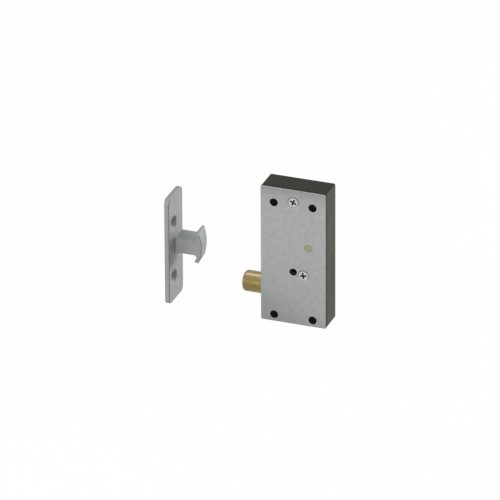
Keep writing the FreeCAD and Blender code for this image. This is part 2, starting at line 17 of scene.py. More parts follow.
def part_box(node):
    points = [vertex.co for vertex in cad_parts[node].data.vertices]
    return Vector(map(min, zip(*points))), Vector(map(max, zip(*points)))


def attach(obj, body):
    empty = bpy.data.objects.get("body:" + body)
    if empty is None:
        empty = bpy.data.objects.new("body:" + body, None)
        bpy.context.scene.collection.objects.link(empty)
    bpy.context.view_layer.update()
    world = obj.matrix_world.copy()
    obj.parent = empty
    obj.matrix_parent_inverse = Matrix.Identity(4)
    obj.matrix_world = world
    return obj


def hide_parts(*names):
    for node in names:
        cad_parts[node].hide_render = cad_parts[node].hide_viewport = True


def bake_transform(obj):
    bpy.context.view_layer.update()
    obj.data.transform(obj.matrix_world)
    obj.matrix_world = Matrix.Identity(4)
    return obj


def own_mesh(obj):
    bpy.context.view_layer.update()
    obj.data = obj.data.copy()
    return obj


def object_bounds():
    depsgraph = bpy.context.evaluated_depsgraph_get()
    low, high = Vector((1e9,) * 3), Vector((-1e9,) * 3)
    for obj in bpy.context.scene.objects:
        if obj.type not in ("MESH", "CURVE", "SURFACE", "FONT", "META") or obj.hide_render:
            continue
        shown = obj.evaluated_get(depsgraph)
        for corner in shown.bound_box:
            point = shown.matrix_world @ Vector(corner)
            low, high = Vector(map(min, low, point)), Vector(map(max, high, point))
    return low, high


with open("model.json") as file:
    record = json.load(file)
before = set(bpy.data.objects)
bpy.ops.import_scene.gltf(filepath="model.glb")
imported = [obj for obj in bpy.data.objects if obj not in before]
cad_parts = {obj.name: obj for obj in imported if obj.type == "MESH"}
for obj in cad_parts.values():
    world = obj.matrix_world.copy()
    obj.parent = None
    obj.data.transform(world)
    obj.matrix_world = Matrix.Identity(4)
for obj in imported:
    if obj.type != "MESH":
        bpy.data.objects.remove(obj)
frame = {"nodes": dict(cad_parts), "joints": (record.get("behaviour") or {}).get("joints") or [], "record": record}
cad_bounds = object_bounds()
nodes = frame["nodes"]
record = frame["record"]
MM = 0.001
X, Y, Z = range(3)
print("CAD nodes:", len(nodes))

# %% [markdown]
# ## Places taken from the frame
#
# No place is typed again. The case's faces come from the boxes of the housing and the cover, the screw
# places from the mounts, and the pin places from the joints and the boxes of the pins, so they follow
# when the model changes. Only sizes that the frame doesn't give, such as the thickness of a wall, are
# named again, each in the cell that uses it.

# %% Read the main faces and axes
cover_low, cover_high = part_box("cover_plate")
case_low, case_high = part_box("housing")
pin_low, pin_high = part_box("pivot_pin")
screws_low, screws_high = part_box("cover_screws")
stops_low, stops_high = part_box("stop_pins")
anchor_low, anchor_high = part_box("spring_anchor_pin")
kicker_low, kicker_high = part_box("kicker")
strike_low, strike_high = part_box("strike")
mounts = {mount["name"]: mount for mount in record["mounts"]}
joint_places = {joint["name"]: Vector(joint["pos_m"]) for joint in frame["joints"] if "pos_m" in joint}
pivot = joint_places["catch_lift"]
release = joint_places["hub_turn"]
print("case in mm:", [round(side / MM, 2) for side in cover_high - cover_low])


# %% Work out where the screws go
def pattern_places(name, across):
    """The centres of a mount's screw holes, spread along an axis and, where it says so, along Z."""
    mount = mounts[name]
    dims = mount["dims"]
    wide = dims.get("spacing_x_mm", 0.0) * MM / 2
    tall = dims["spacing_y_mm"] * MM / 2
    centre = Vector(mount["pos_m"])
    places = []
    for side in (-1, 1) if wide else (0,):
        for level in (-1, 1):
            place = centre.copy()
            place[across] += side * wide
            place[Z] += level * tall
            places.append(place)
    return places, dims["hole_r_mm"] * MM


case_holes, case_hole_radius = pattern_places("case_screws", X)
strike_holes, strike_hole_radius = pattern_places("strike_screws", Y)
print("case holes:", len(case_holes), "strike holes:", len(strike_holes))

# %% [markdown]
# ## The camera
#
# The photograph was taken through a long lens from the front right and a little above. A camera is
# easiest to place by its turn about the object, its height above the horizon and its distance, so
# those are the named values. The offset to the side puts the case right of centre, and a small roll
# levels it as it is in the photograph.

# %% Place the camera
CAMERA_AZIMUTH = math.radians(20.43)
CAMERA_ELEVATION = math.radians(26.39)
CAMERA_ROLL = math.radians(-0.297)
CAMERA_DISTANCE = 3.7543
CAMERA_LENS = 504.0
TARGET = Vector((0.4, -7.5, 0.0)) * MM
OFFSET_RIGHT = -26.25 * MM
OFFSET_UP = 0.71 * MM
SENSOR_WIDTH = 36.0
NEAREST = 0.05
FARTHEST = 20.0

level = Vector((math.cos(CAMERA_AZIMUTH), math.sin(CAMERA_AZIMUTH), 0.0))
back = Vector(
    (
        math.sin(CAMERA_AZIMUTH) * math.cos(CAMERA_ELEVATION),
        -math.cos(CAMERA_AZIMUTH) * math.cos(CAMERA_ELEVATION),
        math.sin(CAMERA_ELEVATION),
    )
)
upright = back.cross(level)
right = level * math.cos(CAMERA_ROLL) + upright * math.sin(CAMERA_ROLL)
up = upright * math.cos(CAMERA_ROLL) - level * math.sin(CAMERA_ROLL)

eye = TARGET + back * CAMERA_DISTANCE + right * OFFSET_RIGHT + up * OFFSET_UP

bpy.ops.object.camera_add(location=eye)
camera = bpy.context.object
camera.name = "camera"
camera.data.lens = CAMERA_LENS
camera.data.sensor_width = SENSOR_WIDTH
camera.data.clip_start = NEAREST
camera.data.clip_end = FARTHEST
camera.rotation_mode = "QUATERNION"
camera.rotation_quaternion = Matrix((right, up, back)).transposed().to_quaternion()
bpy.context.scene.camera = camera
bpy.context.scene.view_settings.view_transform = "Standard"
print("camera at:", [round(value, 3) for value in camera.location])

# %% [markdown]
# ## Floor, world and lamps
#
# The product shot has a clean white ground. A camera ray that hits the floor or the world sees white,
# while the light that they give to the object stays plain. One soft lamp at the front left lights the
# cover, and one behind on the right lights the side of the case and the strike's broad face. An edge
# between those faces looks at neither, and so it draws the dark line that the photograph has there. A
# fill lamp straight in front lifts the front of the stem, and a smaller lamp overhead puts the bright
# band on the brass.

# %% Build the floor and the world
FLOOR_DROP = 0.4 * MM
FLOOR_SIZE = 6.0
FLOOR_TINT = 0.55
FLOOR_GLOW = 1.045
SHADOW_KEPT = 0.07
WORLD_LIGHT = 0.26


def camera_like(tree):
    """One where a ray comes from the camera, a mirror or a glass, and zero elsewhere."""
    path = tree.nodes.new("ShaderNodeLightPath")
    first = tree.nodes.new("ShaderNodeMath")
    second = tree.nodes.new("ShaderNodeMath")
    for add in (first, second):
        add.operation = "MAXIMUM"
    tree.links.new(path.outputs["Is Camera Ray"], first.inputs[0])
    tree.links.new(path.outputs["Is Glossy Ray"], first.inputs[1])
    tree.links.new(first.outputs[0], second.inputs[0])
    tree.links.new(path.outputs["Is Transmission Ray"], second.inputs[1])
    return second.outputs[0]


def white_ground(name):
    """A pale floor that glows white for the camera and keeps a little of its own shadow."""
    material = bpy.data.materials.new(name)
    material.use_nodes = True
    tree = material.node_tree
    tree.nodes.clear()
    output = tree.nodes.new("ShaderNodeOutputMaterial")
    paper = tree.nodes.new("ShaderNodeBsdfDiffuse")
    paper.inputs["Color"].default_value = (FLOOR_TINT, FLOOR_TINT, FLOOR_TINT, 1.0)
    glow = tree.nodes.new("ShaderNodeEmission")
    glow.inputs["Strength"].default_value = FLOOR_GLOW
    share = tree.nodes.new("ShaderNodeMath")
    share.operation = "MULTIPLY"
    share.inputs[1].default_value = 1.0 - SHADOW_KEPT
    mix = tree.nodes.new("ShaderNodeMixShader")
    tree.links.new(camera_like(tree), share.inputs[0])
    tree.links.new(share.outputs[0], mix.inputs["Fac"])
    tree.links.new(paper.outputs[0], mix.inputs[1])
    tree.links.new(glow.outputs[0], mix.inputs[2])
    tree.links.new(mix.outputs[0], output.inputs["Surface"])
    return material


bpy.ops.mesh.primitive_plane_add(size=FLOOR_SIZE, location=(0.0, 0.0, cad_bounds[0][Z] - FLOOR_DROP))
floor = bpy.context.object
floor.name = "floor"
floor.data.materials.append(white_ground("white_ground"))

world = bpy.data.worlds.new("studio")
bpy.context.scene.world = world
world.use_nodes = True
sky = world.node_tree
background = sky.nodes["Background"]
background.inputs["Color"].default_value = (1.0, 1.0, 1.0, 1.0)
level_mix = sky.nodes.new("ShaderNodeMapRange")
level_mix.inputs["To Min"].default_value = WORLD_LIGHT
level_mix.inputs["To Max"].default_value = 1.0
sky.links.new(camera_like(sky), level_mix.inputs["Value"])
sky.links.new(level_mix.outputs[0], background.inputs["Strength"])

# %% Hang the lamps
LAMP_DISTANCE = 0.9
LAMPS = {
    "front_lamp": {"direction": (-0.85, -0.6, 0.1), "size": 0.5, "watts": 2.4},
    "fill_lamp": {"direction": (0.05, -1.0, 0.2), "size": 0.5, "watts": 2.5},
    "side_lamp": {"direction": (0.75, 0.65, 0.15), "size": 0.5, "watts": 5.4},
    "top_lamp": {"direction": (-0.33, 0.2, 0.95), "size": 0.25, "watts": 1.0},
}


def soft_lamp(name, direction, size, watts):
    """A square area lamp that shines on the case from a direction."""
    place = TARGET + Vector(direction).normalized() * LAMP_DISTANCE
    bpy.ops.object.light_add(type="AREA", location=place)
    lamp = bpy.context.object
    lamp.name = name
    lamp.data.size = size
    lamp.data.energy = watts
    lamp.rotation_euler = (place - TARGET).to_track_quat("Z", "Y").to_euler()
    print(name, "watts:", watts)


for name, lamp in LAMPS.items():
    soft_lamp(name, **lamp)

# %% [markdown]
# ## A small set of modelling habits
#
# Every operator works on what is selected, so each step begins by clearing the selection and marking
# the edges or faces it needs by their place. These helpers do that. A test is a small function: edges
# are tested by their two ends, faces by their centre and normal.

# %% Selection helpers
NEAR = 2e-6
RING_NEAR = 10 * NEAR


def only(piece):
    """Make this the one selected and active object, in object mode."""
    if bpy.context.object and bpy.context.object.mode != "OBJECT":
        bpy.ops.object.mode_set(mode="OBJECT")
    bpy.ops.object.select_all(action="DESELECT")
    piece.select_set(True)
    bpy.context.view_layer.objects.active = piece


def pick(piece, kind, wanted):
    """Enter edit mode with the corners, edges or faces that pass a test."""
    only(piece)
    bpy.ops.object.mode_set(mode="EDIT")
    bpy.ops.mesh.select_mode(type=kind)
    bpy.ops.mesh.select_all(action="DESELECT")
    bpy.ops.object.mode_set(mode="OBJECT")
    mesh = piece.data
    count = 0
    if kind == "VERT":
        for corner in mesh.vertices:
            corner.select = wanted(corner.co)
            count += corner.select
    elif kind == "FACE":
        for face in mesh.polygons:
            face.select = wanted(face.center, face.normal)
            count += face.select
    else:
        for edge in mesh.edges:
            first, last = [mesh.vertices[index].co for index in edge.vertices]
            edge.select = wanted(first, last)
            count += edge.select
    bpy.ops.object.mode_set(mode="EDIT")
    return count


def leave_edit():
    """Go back to object mode, which writes the edit into the mesh."""
    bpy.ops.object.mode_set(mode="OBJECT")


def along(axis):
    """A test for edges that run along an axis."""
    return lambda first, last: abs(abs((last - first)[axis]) - (last - first).length) < NEAR


def on_plane(axis, height):
    """A test for edges that lie in the plane where this coordinate has this value."""
    return lambda first, last: abs(first[axis] - height) < NEAR and abs(last[axis] - height) < NEAR


def on_ring(axis, height, centre, radius):
    """A test for edges of a circle about an axis, in a plane across it."""
    others = [other for other in (X, Y, Z) if other != axis]

    def wanted(first, last):
        if not on_plane(axis, height)(first, last):
            return False
        for end in (first, last):
            reach = math.hypot(*(end[other] - centre[other] for other in others))
            if abs(reach - radius) > RING_NEAR:
                return False
        return True

    return wanted


# %% [markdown]
# ## Blocks, bars and cuts
#
# Most machined pieces are a block or a bar with edges broken, material cut away and material joined
# on. The Boolean modifier does the last two, and it is applied at once, so each piece ends as one
# plain mesh.

# %% Shaping helpers
ROUND_SIDES = 64
PROUD = 0.1 * MM
TURNS = {X: (0.0, math.pi / 2, 0.0), Y: (-math.pi / 2, 0.0, 0.0)}


def block(name, low, high):
    """A box between two corners, as a mesh in place."""
    bpy.ops.object.select_all(action="DESELECT")
    centre = (Vector(low) + Vector(high)) / 2
    bpy.ops.mesh.primitive_cube_add(size=1.0, location=centre, scale=Vector(high) - Vector(low))
    piece = bpy.context.object
    piece.name = name
    bpy.ops.object.transform_apply(location=True, rotation=True, scale=True)
    return piece


def bar(name, start, length, radius, axis=Y, end_radius=None):
    """A round bar or cone that runs from start along +X or +Y, as a mesh in place."""
    bpy.ops.object.select_all(action="DESELECT")
    middle = Vector(start)
    middle[axis] += length / 2
    bpy.ops.mesh.primitive_cone_add(
        vertices=ROUND_SIDES,
        radius1=radius,
        radius2=radius if end_radius is None else end_radius,
        depth=length,
        location=middle,
        rotation=TURNS[axis],
    )
    piece = bpy.context.object
    piece.name = name
    bpy.ops.object.transform_apply(location=True, rotation=True, scale=True)
    return piece


def sink(face, depth, radius, end_radius, axis=Y):
    """A countersink's cutter. It starts a little in front of the face, so that no planes are shared."""
    slope = (radius - end_radius) / depth
    start = Vector(face)
    start[axis] -= PROUD
    return bar("sink", start, depth + PROUD, radius + slope * PROUD, axis, end_radius)


def bevel(piece, wanted, width, steps=4):
    """Round the edges that pass a test, or chamfer them with one step."""
    count = pick(piece, "EDGE", wanted)
    if count:
        bpy.ops.mesh.bevel(
            offset=width, offset_type="OFFSET", segments=steps, profile=0.5, clamp_overlap=True
        )
    leave_edit()
    return count


def carve(piece, tools, operation="DIFFERENCE"):
    """Cut the tools out of a piece, or join them to it, and clear the tools away."""
    for tool in tools:
        only(piece)
        step = piece.modifiers.new("carve", "BOOLEAN")
        step.operation = operation
        step.solver = "EXACT"
        step.object = tool
        bpy.ops.object.modifier_apply(modifier=step.name)
        bpy.data.objects.remove(tool)


# %% [markdown]
# ## Pieces drawn as an outline
#
# Some pieces are easiest to draw: a turned part is half a section swung about its axis, and a plate is
# an outline pushed through its thickness. A plane merged to one vertex gives the pencil, and the
# vertex is then extruded from corner to corner.


# %% Drawing helpers
def draw(name, corners, closed=False):
    """A chain of vertices through the corners, ready in edit mode with all of it selected."""
    bpy.ops.object.select_all(action="DESELECT")
    bpy.ops.mesh.primitive_plane_add(size=MM, location=(0.0, 0.0, 0.0))
    piece = bpy.context.object
    piece.name = name
    bpy.ops.object.mode_set(mode="EDIT")
    bpy.ops.mesh.select_mode(type="VERT")
    bpy.ops.mesh.merge(type="CENTER")
    bpy.ops.transform.translate(value=corners[0])
    for before, corner in zip(corners, corners[1:]):
        bpy.ops.mesh.extrude_vertices_move(TRANSFORM_OT_translate={"value": corner - before})
    bpy.ops.mesh.select_all(action="SELECT")
    if closed:
        bpy.ops.mesh.edge_face_add()
    return piece


def lathe(name, half_section, centre):
    """Swing a half section of (x, radius) corners about the line along X through a centre."""
    corners = [Vector((x, centre[Y], centre[Z] + radius)) for x, radius in half_section]
    piece = draw(name, corners)
    bpy.ops.mesh.spin(steps=ROUND_SIDES, angle=2 * math.pi, center=centre, axis=(1.0, 0.0, 0.0))
    bpy.ops.mesh.select_all(action="SELECT")
    bpy.ops.mesh.remove_doubles(threshold=NEAR)
    bpy.ops.mesh.normals_make_consistent(inside=False)
    leave_edit()
    return piece


def plate(name, outline, low_y, high_y):
    """Push a closed outline of (x, z) corners through from low_y to high_y."""
    piece = draw(name, [Vector((x, low_y, z)) for x, z in outline], closed=True)
    bpy.ops.mesh.select_all(action="SELECT")
    bpy.ops.mesh.extrude_region_move(TRANSFORM_OT_translate={"value": (0.0, high_y - low_y, 0.0)})
    bpy.ops.mesh.select_all(action="SELECT")
    bpy.ops.mesh.normals_make_consistent(inside=False)
    leave_edit()
    return piece


# %% [markdown]
# ## Finishing a piece
#
# Each piece ends the same way: doubles are merged, faces are made to point outwards, and weighted
# normals keep the broad faces flat between their rounded edges. Then it is given to the body that it
# moves with, and the construction node that it stands for is hidden. A piece that will bend between
# two bodies is given to neither.

# %% Finishing helper
SMOOTH_UNDER = math.radians(40.0)


def finish(piece, body, material, replaced):
    """Clean a piece's mesh, dress it, give it to its body, and hide the construction node it stands for."""
    pick(piece, "FACE", lambda centre, normal: True)
    bpy.ops.mesh.remove_doubles(threshold=NEAR)
    bpy.ops.mesh.normals_make_consistent(inside=False)
    leave_edit()
    bpy.ops.object.shade_smooth_by_angle(angle=SMOOTH_UNDER)
    weigh = piece.modifiers.new("weigh", "WEIGHTED_NORMAL")
    weigh.keep_sharp = True
    bpy.ops.object.modifier_apply(modifier=weigh.name)
    piece.data.materials.clear()
    piece.data.materials.append(material)
    if body:
        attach(piece, body)
    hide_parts(replaced)
    print(piece.name, "faces:", len(piece.data.polygons))
    return piece


# %% [markdown]
# ## The metals
#
# All the finishes are built on one plain shader with a little noise in it. What makes each of them
# read as its own metal is the base colour, how rough it is, how coarse its grain is and how deep that
# grain goes. Patterns use Object coordinates, which are metres here, so a grain of 4000 is about a
# quarter of a millimetre wide.

# %% Building blocks of a finish
FINE_DETAIL = 4.0
BROAD_DETAIL = 3.0


def plain_finish(name, metallic, specular=0.5):
    """A new material, with its node tree and its one shader."""
    material = bpy.data.materials.new(name)
    material.use_nodes = True
    tree = material.node_tree
    shader = tree.nodes["Principled BSDF"]
    shader.inputs["Metallic"].default_value = metallic
    shader.inputs["Specular IOR Level"].default_value = specular
    return material, tree, shader


def noise(tree, place, scale, detail):
    """A noise that is read at a place."""
    pattern = tree.nodes.new("ShaderNodeTexNoise")
    pattern.inputs["Scale"].default_value = scale
    pattern.inputs["Detail"].default_value = detail
    tree.links.new(place, pattern.inputs["Vector"])
    return pattern.outputs["Fac"]


def vary_color(tree, shader, fine, broad, cloud, tones):
    """Mix two noises into a colour from (position, colour) tones. cloud is the broad one's share."""
    blend = tree.nodes.new("ShaderNodeMix")
    blend.data_type = "FLOAT"
    blend.inputs["Factor"].default_value = cloud
    tree.links.new(fine, blend.inputs["A"])
    tree.links.new(broad, blend.inputs["B"])
    ramp = tree.nodes.new("ShaderNodeValToRGB")
    for element, (position, color) in zip(ramp.color_ramp.elements, tones):
        element.position = position
        element.color = [min(1.0, channel) for channel in color] + [1.0]
    tree.links.new(blend.outputs["Result"], ramp.inputs["Fac"])
    tree.links.new(ramp.outputs["Color"], shader.inputs["Base Color"])


def vary_surface(tree, shader, fine, broad, roughness, swing, depth):
    """Let the broad noise swing the roughness and the fine one raise the surface by a depth."""
    gloss = tree.nodes.new("ShaderNodeMapRange")
    gloss.inputs["To Min"].default_value = roughness - swing
    gloss.inputs["To Max"].default_value = roughness + swing
    tree.links.new(broad, gloss.inputs["Value"])
    tree.links.new(gloss.outputs[0], shader.inputs["Roughness"])
    bump = tree.nodes.new("ShaderNodeBump")
    bump.inputs["Strength"].default_value = 1.0
    bump.inputs["Distance"].default_value = depth
    tree.links.new(fine, bump.inputs["Height"])
    tree.links.new(bump.outputs[0], shader.inputs["Normal"])


# %% A metal with grain
GRAIN_LOW, GRAIN_HIGH = 0.36, 0.64
GRAIN_SWING = 0.06
BROAD_TIMES = 16.0


def grain_metal(
    name, color, metallic, roughness, grain, depth, spread=0.08, specular=0.5, cloud=0.45
):
    """A metal with a grain whose depth is in millimetres. spread is how far the colour varies."""
    material, tree, shader = plain_finish(name, metallic, specular)
    place = tree.nodes.new("ShaderNodeTexCoord").outputs["Object"]
    fine = noise(tree, place, grain, FINE_DETAIL)
    broad = noise(tree, place, grain / BROAD_TIMES, BROAD_DETAIL)
    dark = [channel * (1.0 - spread) for channel in color]
    light = [channel * (1.0 + spread) for channel in color]
    vary_color(tree, shader, fine, broad, cloud, ((GRAIN_LOW, dark), (GRAIN_HIGH, light)))
    vary_surface(tree, shader, fine, broad, roughness, GRAIN_SWING, depth * MM)
    return material


# %% Mix the plain finishes
satin_cover = grain_metal(
    "satin_cover", (0.445, 0.454, 0.454), metallic=0.55, roughness=0.42, grain=5200.0, depth=0.004,
    spread=0.07, specular=0.1, cloud=0.6,
)
dark_casting = grain_metal(
    "dark_casting", (0.077, 0.079, 0.060), metallic=0.0, roughness=0.5, grain=1500.0, depth=0.015,
    spread=0.4, specular=0.1,
)
cast_strike = grain_metal(
    "cast_strike", (0.445, 0.463, 0.463), metallic=0.2, roughness=0.6, grain=2300.0, depth=0.03,
    spread=0.12, specular=0.35,
)
pin_brass = grain_metal(
    "pin_brass", (0.36, 0.35, 0.21), metallic=0.6, roughness=0.42, grain=3000.0, depth=0.004
)
bright_screw = grain_metal(
    "bright_screw", (0.53, 0.57, 0.55), metallic=0.85, roughness=0.3, grain=3600.0, depth=0.003,
    spread=0.05,
)
plain_steel = grain_metal(
    "plain_steel", (0.45, 0.46, 0.47), metallic=0.95, roughness=0.36, grain=2400.0, depth=0.004
)
spring_wire = grain_metal(
    "spring_wire", (0.42, 0.43, 0.44), metallic=0.95, roughness=0.28, grain=3200.0, depth=0.003
)
black_oxide = grain_metal(
    "black_oxide", (0.035, 0.036, 0.038), metallic=0.6, roughness=0.45, grain=2800.0, depth=0.004
)
moulded_bush = grain_metal(
    "moulded_bush", (0.72, 0.71, 0.66), metallic=0.0, roughness=0.5, grain=1200.0, depth=0.004,
    spread=0.03,
)
black_rubber = grain_metal(
    "black_rubber", (0.02, 0.02, 0.02), metallic=0.0, roughness=0.75, grain=1800.0, depth=0.02,
    spread=0.2,
)

# %% [markdown]
# ## Painted shade behind the face
#
# What lies behind the outer face, such as a screw's cross, the ring round its head or the edge of the
# cover, gets painted shade: the material fades to a dark dull tone with the distance behind the face,
# which is read from the Object coordinates. A Mix node's colour sockets share their names with its
# plain ones, so they are called by number.


# %% Paint shade on what lies behind the face
COLOR_A, COLOR_B, MIXED_COLOR = 6, 7, 2


def paint_shade_behind(material, face_y, start, end, color):
    """Paint shade: fade a metal to a dark dull tone between two depths behind a face that looks along -Y."""
    tree = material.node_tree
    shader = tree.nodes["Principled BSDF"]
    place = tree.nodes.new("ShaderNodeTexCoord")
    split = tree.nodes.new("ShaderNodeSeparateXYZ")
    depth = tree.nodes.new("ShaderNodeMapRange")
    depth.inputs["From Min"].default_value = face_y + start
    depth.inputs["From Max"].default_value = face_y + end
    tree.links.new(place.outputs["Object"], split.inputs[0])
    tree.links.new(split.outputs["Y"], depth.inputs["Value"])
    fade = tree.nodes.new("ShaderNodeMix")
    fade.data_type = "RGBA"
    fade.inputs[COLOR_B].default_value = color + (1.0,)
    tree.links.new(depth.outputs[0], fade.inputs[0])
    tree.links.new(shader.inputs["Base Color"].links[0].from_socket, fade.inputs[COLOR_A])
    tree.links.new(fade.outputs[MIXED_COLOR], shader.inputs["Base Color"])
    dull = tree.nodes.new("ShaderNodeMapRange")
    dull.inputs["To Min"].default_value = shader.inputs["Metallic"].default_value
    dull.inputs["To Max"].default_value = 0.0
    tree.links.new(depth.outputs[0], dull.inputs["Value"])
    tree.links.new(dull.outputs[0], shader.inputs["Metallic"])


HEAD_SUNK = 0.15 * MM
# Painted shade on the cover's edges and on the walls of its holes and seats.
paint_shade_behind(
    satin_cover, cover_low.y, start=0.25 * MM, end=0.5 * MM, color=(0.012, 0.0125, 0.011)
)
# Painted shade in the screws' crosses and below their heads.
paint_shade_behind(
    bright_screw, cover_low.y + HEAD_SUNK, start=0.12 * MM, end=0.35 * MM, color=(0.02, 0.024, 0.022)
)

# %% [markdown]
# ## Painted light and shade
#
# No face is one even tone, and these factors paint light and shade into the base colours. The cover
# carries a painted highlight a little above its middle, painted shade at its top and bottom and painted
# shade towards its lower left corner. The casting's top and bottom faces get painted shade, darker and
# a little warmer than its long sides. The strike gets painted shade where its front turns into its
# broad face. The brass gets painted shade below, a yellower side and a pale painted highlight above.
# Each is a factor on the colour, and it runs along the piece's place or follows the way that a face looks.


# %% Paint light and shade along a value
def paint_shading_along(material, source, part, stops, turn=(0.0, 0.0, 0.0)):
    """Paint light and shade: multiply the base colour by (value, tone) stops along one part of a source, once it
    is turned.
    """
    tree = material.node_tree
    shader = tree.nodes["Principled BSDF"]
    place = tree.nodes.new("ShaderNodeTexCoord" if source == "Object" else "ShaderNodeNewGeometry")
    turned = tree.nodes.new("ShaderNodeMapping")
    turned.inputs["Rotation"].default_value = turn
    split = tree.nodes.new("ShaderNodeSeparateXYZ")
    low, high = stops[0][0], stops[-1][0]
    scale = tree.nodes.new("ShaderNodeMapRange")
    scale.inputs["From Min"].default_value = low
    scale.inputs["From Max"].default_value = high
    ramp = tree.nodes.new("ShaderNodeValToRGB")
    ramp.color_ramp.interpolation = "B_SPLINE"
    while len(ramp.color_ramp.elements) < len(stops):
        ramp.color_ramp.elements.new(0.5)
    for element, (value, tone) in zip(ramp.color_ramp.elements, stops):
        element.position = (value - low) / (high - low)
        element.color = (tone[0], tone[1], tone[2], 1.0)
    times = tree.nodes.new("ShaderNodeMix")
    times.data_type = "RGBA"
    times.blend_type = "MULTIPLY"
    times.inputs[0].default_value = 1.0
    tree.links.new(place.outputs[source], turned.inputs["Vector"])
    tree.links.new(turned.outputs[0], split.inputs[0])
    tree.links.new(split.outputs[part], scale.inputs["Value"])
    tree.links.new(scale.outputs[0], ramp.inputs["Fac"])
    tree.links.new(shader.inputs["Base Color"].links[0].from_socket, times.inputs[COLOR_A])
    tree.links.new(ramp.outputs["Color"], times.inputs[COLOR_B])
    tree.links.new(times.outputs[MIXED_COLOR], shader.inputs["Base Color"])


def grey(share):
    """A tone that leaves the hue alone."""
    return (share, share, share)


# Painted light and shade on the cover: a painted highlight a little above its middle, painted shade towards its
# top and bottom.
COVER_PAINTED_LIGHT = (
    (-0.040, grey(0.90)),
    (-0.020, grey(0.94)),
    (0.0, grey(0.965)),
    (0.020, grey(1.0)),
    (0.034, grey(0.96)),
    (0.040, grey(0.70)),
)
# Painted shade towards the cover's lower left corner.
CORNER_SHADE_TURN = (0.0, math.radians(-30.0), 0.0)
CORNER_PAINTED_SHADE = (
    (-0.044, grey(0.76)),
    (-0.032, grey(0.84)),
    (-0.026, grey(0.91)),
    (-0.019, grey(0.98)),
    (-0.010, grey(1.0)),
)
# Painted shade on the casting's top and bottom faces, darker and a little warmer than its long sides.
END_PAINTED_SHADE = (0.42, 0.41, 0.35)
CASTING_PAINTED_SHADE = (
    (-1.0, END_PAINTED_SHADE),
    (-0.7, END_PAINTED_SHADE),
    (-0.3, grey(1.0)),
    (0.3, grey(1.0)),
    (0.7, END_PAINTED_SHADE),
    (1.0, END_PAINTED_SHADE),
)
# Painted shade on the strike where a face looks between its front and its broad face, as on its rounded edges and
# in its countersinks.
EDGE_SHADE_TURN = (0.0, 0.0, math.radians(45.0))
EDGE_PAINTED_SHADE = ((-1.0, grey(1.0)), (0.72, grey(1.0)), (0.86, grey(0.55)), (1.0, grey(0.5)))
paint_shading_along(satin_cover, "Object", "Z", COVER_PAINTED_LIGHT)
paint_shading_along(satin_cover, "Object", "Z", CORNER_PAINTED_SHADE, CORNER_SHADE_TURN)
paint_shading_along(dark_casting, "Normal", "Z", CASTING_PAINTED_SHADE)
paint_shading_along(cast_strike, "Normal", "X", EDGE_PAINTED_SHADE, EDGE_SHADE_TURN)

# %% [markdown]
# ## Turned brass
#
# The kicker was turned in a lathe, and the tool leaves fine rings round it. The rings are a noise that
# is read by the place along the bar and by the distance from its middle, and not by the way round, so
# the same pattern makes rings on the side and circles on the end.


# %% Cut lathe rings into the brass
RING_SCALE = 5000.0
RING_DEPTH = 0.004 * MM
RING_SWING = 0.08
STAIN_TIMES = 10.0
RINGS_LOW, RINGS_HIGH = 0.35, 0.65
RINGS_DARK, RINGS_LIGHT = 0.84, 1.14


def turned_metal(name, color, middle, metallic, roughness):
    """A metal with the rings of a lathe about a line along X through its middle."""
    material, tree, shader = plain_finish(name, metallic)
    place = tree.nodes.new("ShaderNodeTexCoord").outputs["Object"]
    centred = tree.nodes.new("ShaderNodeMapping")
    centred.inputs["Location"].default_value = (0.0, -middle[Y], -middle[Z])
    split = tree.nodes.new("ShaderNodeSeparateXYZ")
    across = tree.nodes.new("ShaderNodeCombineXYZ")
    reach = tree.nodes.new("ShaderNodeVectorMath")
    reach.operation = "LENGTH"
    rings = tree.nodes.new("ShaderNodeCombineXYZ")
    tree.links.new(place, centred.inputs["Vector"])
    tree.links.new(centred.outputs[0], split.inputs[0])
    tree.links.new(split.outputs["Y"], across.inputs["Y"])
    tree.links.new(split.outputs["Z"], across.inputs["Z"])
    tree.links.new(across.outputs[0], reach.inputs[0])
    tree.links.new(split.outputs["X"], rings.inputs["X"])
    tree.links.new(reach.outputs["Value"], rings.inputs["Y"])
    marks = noise(tree, rings.outputs[0], RING_SCALE, BROAD_DETAIL)
    stain = noise(tree, place, RING_SCALE / STAIN_TIMES, FINE_DETAIL)
    dark = [channel * RINGS_DARK for channel in color]
    light = [channel * RINGS_LIGHT for channel in color]
    vary_color(tree, shader, marks, stain, cloud=0.5, tones=((RINGS_LOW, dark), (RINGS_HIGH, light)))
    vary_surface(tree, shader, marks, stain, roughness, RING_SWING, RING_DEPTH)
    return material


kicker_middle = (kicker_low + kicker_high) / 2
turned_brass = turned_metal(
    "turned_brass", (0.363, 0.284, 0.163), kicker_middle, metallic=0.8, roughness=0.34
)
# Painted light and shade on the brass by the way a face looks: painted shade below, a yellower side and a pale
# painted highlight above.
BRASS_PAINTED_SHADE_BELOW = (0.653, 0.725, 0.479)
BRASS_PAINTED_SIDE = (0.671, 0.608, 0.309)
BRASS_PAINTED_HIGHLIGHT = (0.678, 0.708, 0.528)
BRASS_PAINTED_LIGHT = (
    (-1.0, BRASS_PAINTED_SHADE_BELOW),
    (-0.4, BRASS_PAINTED_SHADE_BELOW),
    (0.3, BRASS_PAINTED_SIDE),
    (0.55, BRASS_PAINTED_SIDE),
    (0.77, grey(1.0)),
    (1.0, BRASS_PAINTED_HIGHLIGHT),
)
paint_shading_along(turned_brass, "Normal", "Z", BRASS_PAINTED_LIGHT)
print("kicker's middle in mm:", [round(value / MM, 2) for value in kicker_middle])

# %% [markdown]
# ## Pieces that stay as the construction model made them
#
# The pieces inside the case are seen only through its slot and its holes. Their shapes are right
# already, so they stay, and they only take their finishes.

